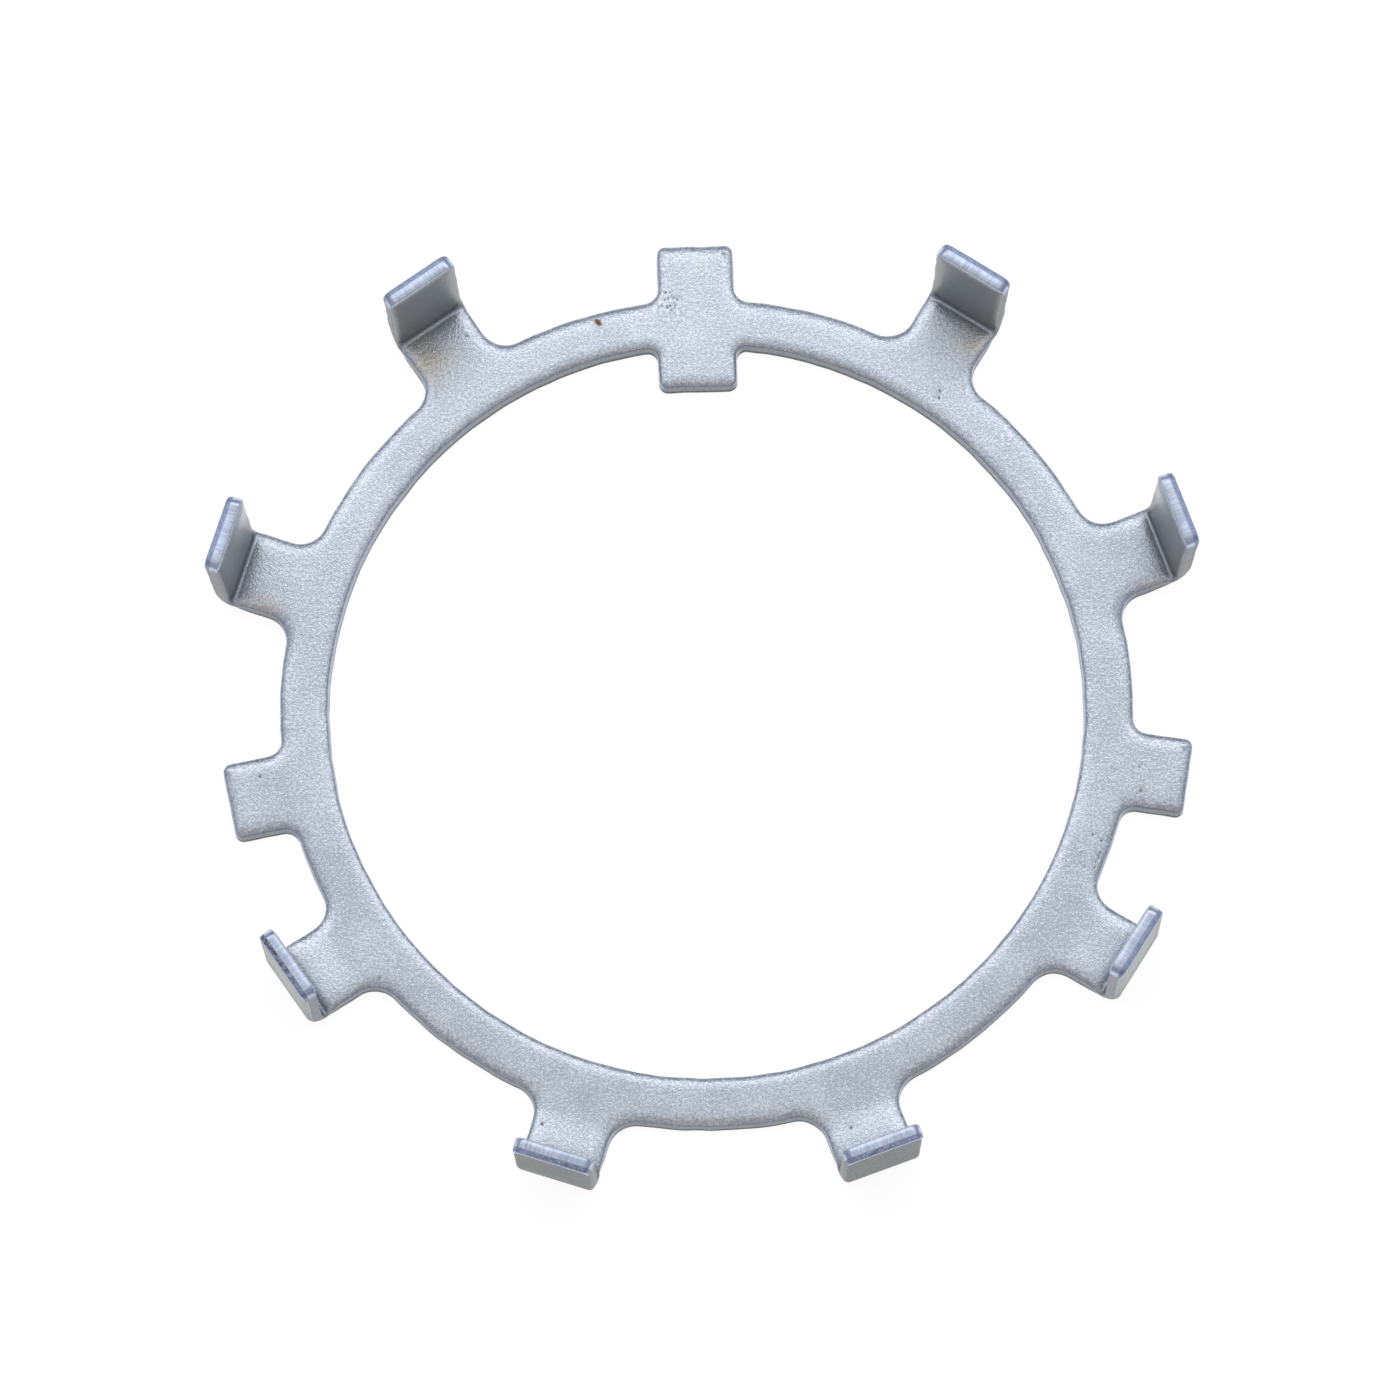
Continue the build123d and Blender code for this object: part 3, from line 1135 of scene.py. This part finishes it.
@dataclass(frozen=True)
class TumbledSteel:
    """Mild steel sheet, tumbled after stamping: satin, faintly blue, with a fine pebbled grain."""

    light_tone: str = "#E6ECF4"
    dark_tone: str = "#B9C2CF"
    crease_shade_tone: str = "#929393"      # painted shade in front of and on the inside of the legs
    burr_side_and_shade: str = "#808685"      # darker: partly the die's duller face, partly painted shade for the shadowed floor that the legs' outer faces reflect
    burr_shade: str = "#626767"
    # Burr side in the lit patches: painted reflection of a lit floor, partly polish.
    burr_lit_and_polished: str = "#B6BCBA"
    rust: str = "#775639"
    # Pale golden film: fine rust, partly a painted warm glint.
    rust_and_glint_film: str = "#EFD8B0"
    roughness: tuple[float, float] = (0.25, 0.32)   # where a cloud is thin and where it is thick
    sheltered_roughness: float = 0.42
    burr_roughness: float = 0.46
    grain: Grain = Grain(0.3, 2.0, 0.6)             # the tumbled grain's pebbles
    pores: Grain = Grain(0.15, 1.0, 0.5)
    clouds: Grain = Grain(3.5, 3.0, 0.55)           # broad patches
    relief_mm: float = 0.027        # how high the pebbles stand
    pore_relief: float = 0.45       # how much the pores add to that
    pore_share: float = 0.8         # how much the pores count in the tone, against the pebbles
    cloud_share: float = 0.5        # how much the clouds do
    edge_highlight_share: float = 0.15      # how much the edge's polish and painted highlight count
    tone_span: tuple[float, float] = (1.02, 1.45)       # the sum of those that runs from dark to light
    burr_span: tuple[float, float] = (1.0, 1.3)         # the same on the burr side
    speck_span: tuple[float, float] = (0.84, 1.04)      # and for the pebbles that a film of rust takes
    cloud_span: tuple[float, float] = (0.3, 0.7)        # from a thin cloud to a thick one
    side_span: tuple[float, float] = (0.4, 1.0)         # the depths where one side's look gives way

    def material(self) -> bpy.types.Material:
        """Build the material."""
        material = bpy.data.materials.new("tumbled_mild_steel")
        tree = bare(material)
        known = {}
        names = ("depth", "shelter", "polish", "edge_polish", "bloom", "stain")
        rows = [(name, READ, {"attribute_name": name}, {}, "Fac") for name in names]
        rows.append(("blank", READ, {"attribute_name": "blank"}, {}, "Vector"))
        for name, grain in (("grain", self.grain), ("pores", self.pores), ("clouds", self.clouds)):
            rows.append((name, NOISE, None, {"Vector": "blank"} | grain.inputs()))
        lay_out(tree, known, rows + [
            # Light and dark pebbles and pores, over a faint cloud of broad patches.
            ("fine", MATH, SCALED_SUM, {0: "pores", 1: self.pore_share, 2: "grain"}),
            ("mixed", MATH, SCALED_SUM, {0: "clouds", 1: self.cloud_share, 2: "fine"}),
            # Lighter along the rolled edge: partly polish, partly painted highlight.
            ("worn", MATH, SCALED_SUM, {0: "edge_polish", 1: self.edge_highlight_share, 2: "mixed"}),
            ("tone", SPAN, None, {"Value": "worn"} | dict(zip(FROM, self.tone_span))),
            ("base", MIX, COLOURS, {
                "Factor": "tone", "A": linear(self.dark_tone), "B": linear(self.light_tone),
            }),
            # Painted shade, and more roughness, in front of and inside the legs, but for the lit patches;
            # the burr side darker, partly painted shade.
            ("unpolished", MATH, {"operation": "SUBTRACT"}, {0: 1.0, 1: "polish"}),
            ("dull", MATH, PRODUCT, {0: "shelter", 1: "unpolished"}),
            ("tucked", MIX, COLOURS, {"Factor": "dull", "A": "base", "B": linear(self.crease_shade_tone)}),
            ("under", SPAN, None, {"Value": "depth"} | dict(zip(FROM, self.side_span))),
            ("mottled", SPAN, None, {"Value": "mixed"} | dict(zip(FROM, self.burr_span))),
            # The burr side: partly the die's duller face, partly painted shade.
            ("die side", MIX, COLOURS, {
                "Factor": "mottled", "A": linear(self.burr_shade), "B": linear(self.burr_side_and_shade),
            }),
            # The lit patches on the burr side: painted reflection of a lit floor, partly polish.
            ("rubbed", MIX, COLOURS, {
                "Factor": "polish", "A": "die side", "B": linear(self.burr_lit_and_polished),
            }),
            ("sided", MIX, COLOURS, {"Factor": "under", "A": "tucked", "B": "rubbed"}),
            # Fine rust, partly a painted warm glint: a pale golden film on the pebbles of a bloom; and the
            # rust in a pit.
            ("specks", SPAN, None, {"Value": "fine"} | dict(zip(FROM, self.speck_span))),
            ("specked", MATH, PRODUCT, {0: "bloom", 1: "specks"}),
            ("filmed", MIX, COLOURS, {"Factor": "specked", "A": "sided", "B": linear(self.rust_and_glint_film)}),
            ("colour", MIX, COLOURS, {"Factor": "stain", "A": "filmed", "B": linear(self.rust)}),
            ("clouded", SPAN, None, {
                "Value": "clouds", **dict(zip(FROM + TO, self.cloud_span + self.roughness)),
            }),
            ("duller", MIX, NUMBERS, {"Factor": "dull", "A": "clouded", "B": self.sheltered_roughness}),
            ("rough", MIX, NUMBERS, {"Factor": "under", "A": "duller", "B": self.burr_roughness}),
            ("height", MATH, SCALED_SUM, {0: "pores", 1: self.pore_relief, 2: "grain"}),
            ("bump", "ShaderNodeBump", None, {
                "Height": "height", "Distance": self.relief_mm * MM, "Strength": 1.0,
            }),
            ("shader", "ShaderNodeBsdfPrincipled", None, {
                "Base Color": "colour", "Metallic": 1.0, "Roughness": "rough", "Normal": "bump",
            }),
        ])
        add_node(tree, "ShaderNodeOutputMaterial", None, {"Surface": known["shader"]})
        return material


@dataclass(frozen=True)
class ShearedSteel:
    """The same steel where the die sheared it: a dragged land above a torn zone.

    The walls are drawn dark, a painted shade for the dim floor at their foot that they reflect.
    Tumbling rubs the tips of the legs bright, and walls that face left or right take a painted
    highlight. Each pair of colours is the one of a wall and the one of a tip.
    """

    # The wall colours are darkened as painted shade.
    land: tuple[str, str] = ("#A0A4A8", "#DCE4F2")
    land_shade: tuple[str, str] = ("#8B8E93", "#ACB9D4")
    torn: tuple[str, str] = ("#7B7E82", "#A9B5D3")
    torn_shade: tuple[str, str] = ("#666A6E", "#8B97B6")
    rust: str = "#4E3B2A"
    land_roughness: tuple[float, float] = (0.5, 0.3)
    torn_roughness: tuple[float, float] = (0.6, 0.46)
    streaks: Grain = Grain(0.16, 3.0, 0.65)         # the drag lines of the punch
    streak_fall: float = 0.5        # how often they change on their way down, in each mm
    facets: Grain = Grain(0.28, 4.0, 0.65)          # the torn facets
    raggedness: float = 0.16        # how far the facets push the land's end up and down
    tear_span: tuple[float, float] = (0.71, 0.77)       # the depths where the land turns torn
    burr_span: tuple[float, float] = (0.89, 0.95)       # the depths where tumbling reaches again
    burr_torn: float = 0.25         # how much of the torn zone it leaves there
    flank_torn: float = 0.25        # how much it leaves on a leg's sides
    streak_span: tuple[float, float] = (0.3, 0.7)       # from a dark drag line to a light one
    facet_span: tuple[float, float] = (0.35, 0.6)       # from a dark facet to a light one
    hollow_span: tuple[float, float] = (0.62, 0.42)     # from a facet's rise to its hollow
    relief_mm: float = 0.025        # how high the facets stand
    land_relief: float = 0.15       # the share of that which the drag lines have

    def material(self) -> bpy.types.Material:
        """Build the material."""
        material = bpy.data.materials.new("sheared_mild_steel")
        tree = bare(material)
        known = {}
        names = ("depth", "flank", "rub", "tear_rust", "stain")
        rows = [(name, READ, {"attribute_name": name}, {}, "Fac") for name in names]
        per_mm = 1 / self.streaks.spot_mm
        rows += [
            ("blank", READ, {"attribute_name": "blank"}, {}, "Vector"),
            ("drawn", VECTORS, PRODUCT, {0: "blank", 1: (per_mm, per_mm, self.streak_fall)}),
            ("streaks", NOISE, None, {"Vector": "drawn"} | self.streaks.inputs() | {"Scale": 1.0}),
            ("facets", NOISE, None, {"Vector": "blank"} | self.facets.inputs()),
            ("ragged", MATH, SCALED_SUM, {0: "facets", 1: self.raggedness, 2: "depth"}),
            ("left", SPAN, None, {"Value": "flank", "To Min": 1.0, "To Max": self.flank_torn}),
            ("broken", SPAN, None, {
                "Value": "ragged", "To Max": "left", **dict(zip(FROM, self.tear_span)),
            }),
            # Tumbling has rubbed the last of it, the burr itself, as bright as the land.
            ("burr", SPAN, None, {
                "Value": "depth", **dict(zip(FROM + TO, self.burr_span + (1.0, self.burr_torn))),
            }),
            ("torn", MATH, PRODUCT, {0: "broken", 1: "burr"}),
            ("bright", SPAN, None, {"Value": "streaks"} | dict(zip(FROM, self.streak_span))),
            ("dull", SPAN, None, {"Value": "facets"} | dict(zip(FROM, self.facet_span))),
        ]
        # Each zone's dark and light tone runs from the wall's painted shade to the tip's rubbed colour.
        for name, (wall, tip) in (
            ("land dark", self.land_shade),
            ("land light", self.land),
            ("torn dark", self.torn_shade),
            ("torn light", self.torn),
        ):
            rows.append((name, MIX, COLOURS, {"Factor": "rub", "A": linear(wall), "B": linear(tip)}))
        for name, (wall, tip) in (("land rough", self.land_roughness), ("torn rough", self.torn_roughness)):
            rows.append((name, SPAN, None, {"Value": "rub", "To Min": wall, "To Max": tip}))
        lay_out(tree, known, rows + [
            ("land", MIX, COLOURS, {"Factor": "bright", "A": "land dark", "B": "land light"}),
            ("tear", MIX, COLOURS, {"Factor": "dull", "A": "torn dark", "B": "torn light"}),
            ("base", MIX, COLOURS, {"Factor": "torn", "A": "land", "B": "tear"}),
            # Rust holds in the torn zone's hollows.
            ("hollow", SPAN, None, {"Value": "facets"} | dict(zip(FROM, self.hollow_span))),
            ("held", MATH, PRODUCT, {0: "torn", 1: "hollow"}),
            ("rusted", MATH, SCALED_SUM | {"use_clamp": True}, {0: "tear_rust", 1: "held", 2: "stain"}),
            ("colour", MIX, COLOURS, {"Factor": "rusted", "A": "base", "B": linear(self.rust)}),
            ("rough", MIX, NUMBERS, {"Factor": "torn", "A": "land rough", "B": "torn rough"}),
            ("height", MIX, NUMBERS, {"Factor": "torn", "A": "streaks", "B": "facets"}),
            ("relief", SPAN, None, {"Value": "torn", "To Min": self.land_relief, "To Max": 1.0}),
            ("bump", "ShaderNodeBump", None, {
                "Height": "height", "Distance": self.relief_mm * MM, "Strength": "relief",
            }),
            ("shader", "ShaderNodeBsdfPrincipled", None, {
                "Base Color": "colour", "Metallic": 1.0, "Roughness": "rough", "Normal": "bump",
            }),
        ])
        add_node(tree, "ShaderNodeOutputMaterial", None, {"Surface": known["shader"]})
        return material


@dataclass
class LockWasher:
    """The whole washer: one blank, bent and dressed."""

    blank: WasherBlank
    skin: TumbledSteel = field(default_factory=TumbledSteel)
    edge: ShearedSteel = field(default_factory=ShearedSteel)
    name: str = "washer_sheet"

    def build(self) -> bpy.types.Object:
        """Build, bend and dress the washer.

        Returns:
            The finished object.
        """
        piece = bpy.data.objects.new(self.name, self.blank.mesh())
        bpy.context.scene.collection.objects.link(piece)
        self.blank.bends.fold(piece, self.skin.material(), self.edge.material())
        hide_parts(NODE)
        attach(piece, "root")
        return piece


@dataclass(frozen=True)
class Softbox:
    """A soft lamp that faces the washer."""

    name: str
    azimuth: float                  # degrees from +Y, anticlockwise seen from above
    elevation: float
    width: float                    # metres
    height: float
    radiance: float
    colour: str
    distance: float = 1.2           # metres from the washer

    def build(self) -> bpy.types.Object:
        """Build the lamp."""
        lamp = bpy.data.lights.new(self.name, "AREA")
        lamp.shape = "RECTANGLE"
        lamp.size = self.width
        lamp.size_y = self.height
        lamp.energy = self.radiance * pi * self.width * self.height
        lamp.color = linear(self.colour)[:3]
        away = Vector((
            -sin(radians(self.azimuth)) * cos(radians(self.elevation)),
            cos(radians(self.azimuth)) * cos(radians(self.elevation)),
            sin(radians(self.elevation)),
        ))
        holder = bpy.data.objects.new(self.name, lamp)
        turn = away.to_track_quat("Z", "Y").to_matrix().to_4x4()
        holder.matrix_world = Matrix.Translation(away * self.distance) @ turn
        bpy.context.scene.collection.objects.link(holder)
        return holder


@dataclass
class Studio:
    """The white floor, the soft light and the camera."""

    softboxes: tuple[Softbox, ...] = (
        Softbox("overhead_softbox", 0, 74, 1.4, 1.33, 0.34, "#FFFFFF"),
        Softbox("overhead_scrim", 0, 74, 3.2, 1.33, 0.22, "#FFFFFF"),
        Softbox("back_softbox", 0, 58, 2.0, 0.55, 0.7, "#FFFFFF"),
        Softbox("zenith_strip", 180, 79, 1.6, 0.3, 0.1, "#FFD9B0"),
        Softbox("front_softbox", 180, 50, 1.6, 0.7, 0.12, "#FFC894"),
    )
    floor_size: float = 8.0         # metres
    floor_tone: str = "#8C8B89"
    floor_glow: float = 0.88        # what the eye and the steel see of the floor, on top of its light
    surround_low: str = "#9AA3B2"
    surround_high: str = "#A3A5A8"
    surround_span: tuple[float, float] = (0.2, 0.85)    # from low to high, as the sine of the elevation
    azimuth: float = -0.20
    elevation: float = 75.808
    roll: float = -1.263
    distance_mm: float = 432.37
    focal_px: float = 4875.8
    target_mm: tuple[float, float, float] = (-0.5531, 0.8014, 0.0)
    frame_px: float = 1400.0
    sensor_mm: float = 36.0
    clip_m: tuple[float, float] = (0.01, 50.0)

    def floor(self) -> bpy.types.Object:
        """Build the pale floor that the washer lies on."""
        half = self.floor_size / 2
        mesh = bpy.data.meshes.new("floor")
        corners = [(x * half, y * half, 0) for x, y in ((-1, -1), (1, -1), (1, 1), (-1, 1))]
        mesh.from_pydata(corners, [], [(0, 1, 2, 3)])
        # Matt white paper, lit from behind: a plain pale ground that still takes the washer's shadow.
        material = bpy.data.materials.new("white_paper_sweep")
        tree = bare(material)
        known = {socket.name: socket for socket in add_node(tree, "ShaderNodeLightPath").outputs}
        lay_out(tree, known, [
            ("seen", MATH, LARGER, {0: "Is Camera Ray", 1: "Is Glossy Ray"}),
            ("seen at all", MATH, LARGER, {0: "seen", 1: "Is Transmission Ray"}),
            ("glow", MATH, PRODUCT, {0: "seen at all", 1: self.floor_glow}),
            ("white", "ShaderNodeEmission", None, {"Color": linear("#FFFFFF"), "Strength": "glow"}),
            ("paper", "ShaderNodeBsdfDiffuse", None, {"Color": linear(self.floor_tone)}),
            ("both", "ShaderNodeAddShader", None, {0: "paper", 1: "white"}),
        ])
        add_node(tree, "ShaderNodeOutputMaterial", None, {"Surface": known["both"]})
        mesh.materials.append(material)
        floor = bpy.data.objects.new("floor", mesh)
        bpy.context.scene.collection.objects.link(floor)
        return floor

    def surround(self) -> None:
        """Fill the room round the softboxes with a dim even light, dimmer near the floor."""
        world = bpy.data.worlds.new("studio_room")
        bpy.context.scene.world = world
        tree = bare(world)
        known = {}
        smooth = {"interpolation_type": "SMOOTHSTEP"}
        lay_out(tree, known, [
            ("direction", "ShaderNodeTexCoord", None, {}, "Generated"),
            ("up", "ShaderNodeSeparateXYZ", None, {"Vector": "direction"}, "Z"),
            ("share", SPAN, smooth, {"Value": "up"} | dict(zip(FROM, self.surround_span))),
            ("tone", MIX, COLOURS, {
                "Factor": "share", "A": linear(self.surround_low), "B": linear(self.surround_high),
            }),
            ("light", "ShaderNodeBackground", None, {"Color": "tone", "Strength": 1.0}),
        ])
        add_node(tree, "ShaderNodeOutputWorld", None, {"Surface": known["light"]})

    def camera(self) -> bpy.types.Object:
        """Set the camera where the photograph was taken from."""
        azimuth, elevation, roll = radians(self.azimuth), radians(self.elevation), radians(self.roll)
        back = Vector((sin(azimuth) * cos(elevation), -cos(azimuth) * cos(elevation), sin(elevation)))
        level = Vector((cos(azimuth), sin(azimuth), 0.0))
        upright = back.cross(level)
        across = cos(roll) * level + sin(roll) * upright
        above = cos(roll) * upright - sin(roll) * level
        lens = bpy.data.cameras.new("camera")
        lens.sensor_fit = "HORIZONTAL"
        lens.sensor_width = self.sensor_mm
        lens.lens = self.focal_px * self.sensor_mm / self.frame_px
        lens.clip_start, lens.clip_end = self.clip_m
        place = Matrix((across, above, back)).transposed().to_4x4()
        place.translation = (Vector(self.target_mm) + self.distance_mm * back) * MM
        camera = bpy.data.objects.new("camera", lens)
        camera.matrix_world = place
        bpy.context.scene.collection.objects.link(camera)
        bpy.context.scene.camera = camera
        return camera

    def build(self) -> None:
        """Build the whole studio."""
        self.floor()
        self.surround()
        for softbox in self.softboxes:
            softbox.build()
        self.camera()
        bpy.context.scene.view_settings.view_transform = "Standard"


# Marks that the photographed washer carries, by their places on it.
PITS = (
    Pit(-8.87, 35.80, 0.25, 0.06, rust=1.0, length=0.2, heading=-50.0),
    Pit(21.70, 28.46, 0.13, 0.06, rust=0.4),
    Pit(21.58, 27.81, 0.12, 0.06, rust=0.4),
    Pit(37.99, -8.84, 0.17, 0.08, rust=0.45),
    Pit(-15.15, -37.03, 0.15, 0.06, rust=0.8),
    Pit(11.54, -38.06, 0.13, 0.06, rust=0.4),
    Pit(-39.46, -5.55, 0.12, 0.06, rust=0.4),
    Pit(40.21, -10.34, 0.10, 0.05, rust=0.4),
    Pit(35.70, -7.07, 0.11, 0.05, rust=0.3),
    Pit(38.01, -6.67, 0.10, 0.05, rust=0.3),
    Pit(36.90, -24.74, 0.10, 0.05, rust=0.4),
    Pit(-20.79, 34.79, 0.10, 0.05, rust=0.4),
    Pit(33.60, -12.69, 0.12, 0.07, rust=0.3),
    Pit(34.31, -13.23, 0.10, 0.06, rust=0.3),
    Pit(31.74, -24.96, 0.05, 0.04, rust=0.4, length=0.12, heading=60.0),
    Pit(-29.05, -23.91, 0.05, 0.04, rust=0.4, length=0.18, heading=55.0),
    Pit(33.97, -25.90, 0.05, 0.04, rust=0.3, length=0.15, heading=50.0),
)
GALLINGS = (
    Galling(-2.55, 37.55, 1.0, 22, 3, dent=0.07, lip=-0.05, radii=(0.06, 0.12)),
    Galling(33.35, -14.70, 1.1, 9, 5, radii=(0.1, 0.18)),
)
PATCHES = (
    # Golden film on the flats: fine rust, partly a painted warm glint.
    Patch(-24.15, 32.50, 1.8, 1.0),
    Patch(25.00, 32.71, 1.4, 0.8),
    Patch(-38.71, 9.86, 1.1, 0.7),
    Patch(39.92, 9.44, 1.0, 0.45),
    Patch(38.60, -11.35, 0.8, 0.25),
    Patch(40.60, -11.40, 0.7, 0.25),
    Patch(-46.64, -28.15, 0.9, 1.0, Wear.TORN_RUST),
    Patch(-45.85, -29.31, 0.8, 0.9, Wear.TORN_RUST),
    Patch(-45.07, -30.47, 0.8, 0.8, Wear.TORN_RUST),
    Patch(-44.17, -31.80, 0.8, 0.7, Wear.TORN_RUST),
    Patch(-43.50, -32.79, 0.5, 0.5, Wear.TORN_RUST),
    Patch(-16.15, -51.35, 3.5, 0.3, Wear.TORN_RUST),
    Patch(16.20, -51.30, 3.5, 0.3, Wear.TORN_RUST),
    # Lit patches on the legs: painted reflection of a lit floor, partly polish.
    Patch(-48.38, 19.31, 2.0, 0.7, Wear.POLISH_AND_FLOOR_LIGHT),
    Patch(48.37, 19.32, 2.0, 0.7, Wear.POLISH_AND_FLOOR_LIGHT),
    Patch(-42.27, -28.60, 6.0, 0.9, Wear.POLISH_AND_FLOOR_LIGHT),
    Patch(42.29, -28.48, 6.0, 0.9, Wear.POLISH_AND_FLOOR_LIGHT),
)


def main() -> None:
    """Build the washer and the studio, and write how large the dressed washer is."""
    logging.basicConfig(level=logging.INFO, format="%(name)s: %(message)s")
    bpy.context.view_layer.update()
    galled = tuple(pit for patch in GALLINGS for pit in patch.pits())
    washer = LockWasher(WasherBlank(pits=PITS + galled, patches=PATCHES)).build()
    log.info("%s has %d faces", washer.name, len(washer.data.polygons))
    Studio().build()


if __name__ == "__main__":
    main()
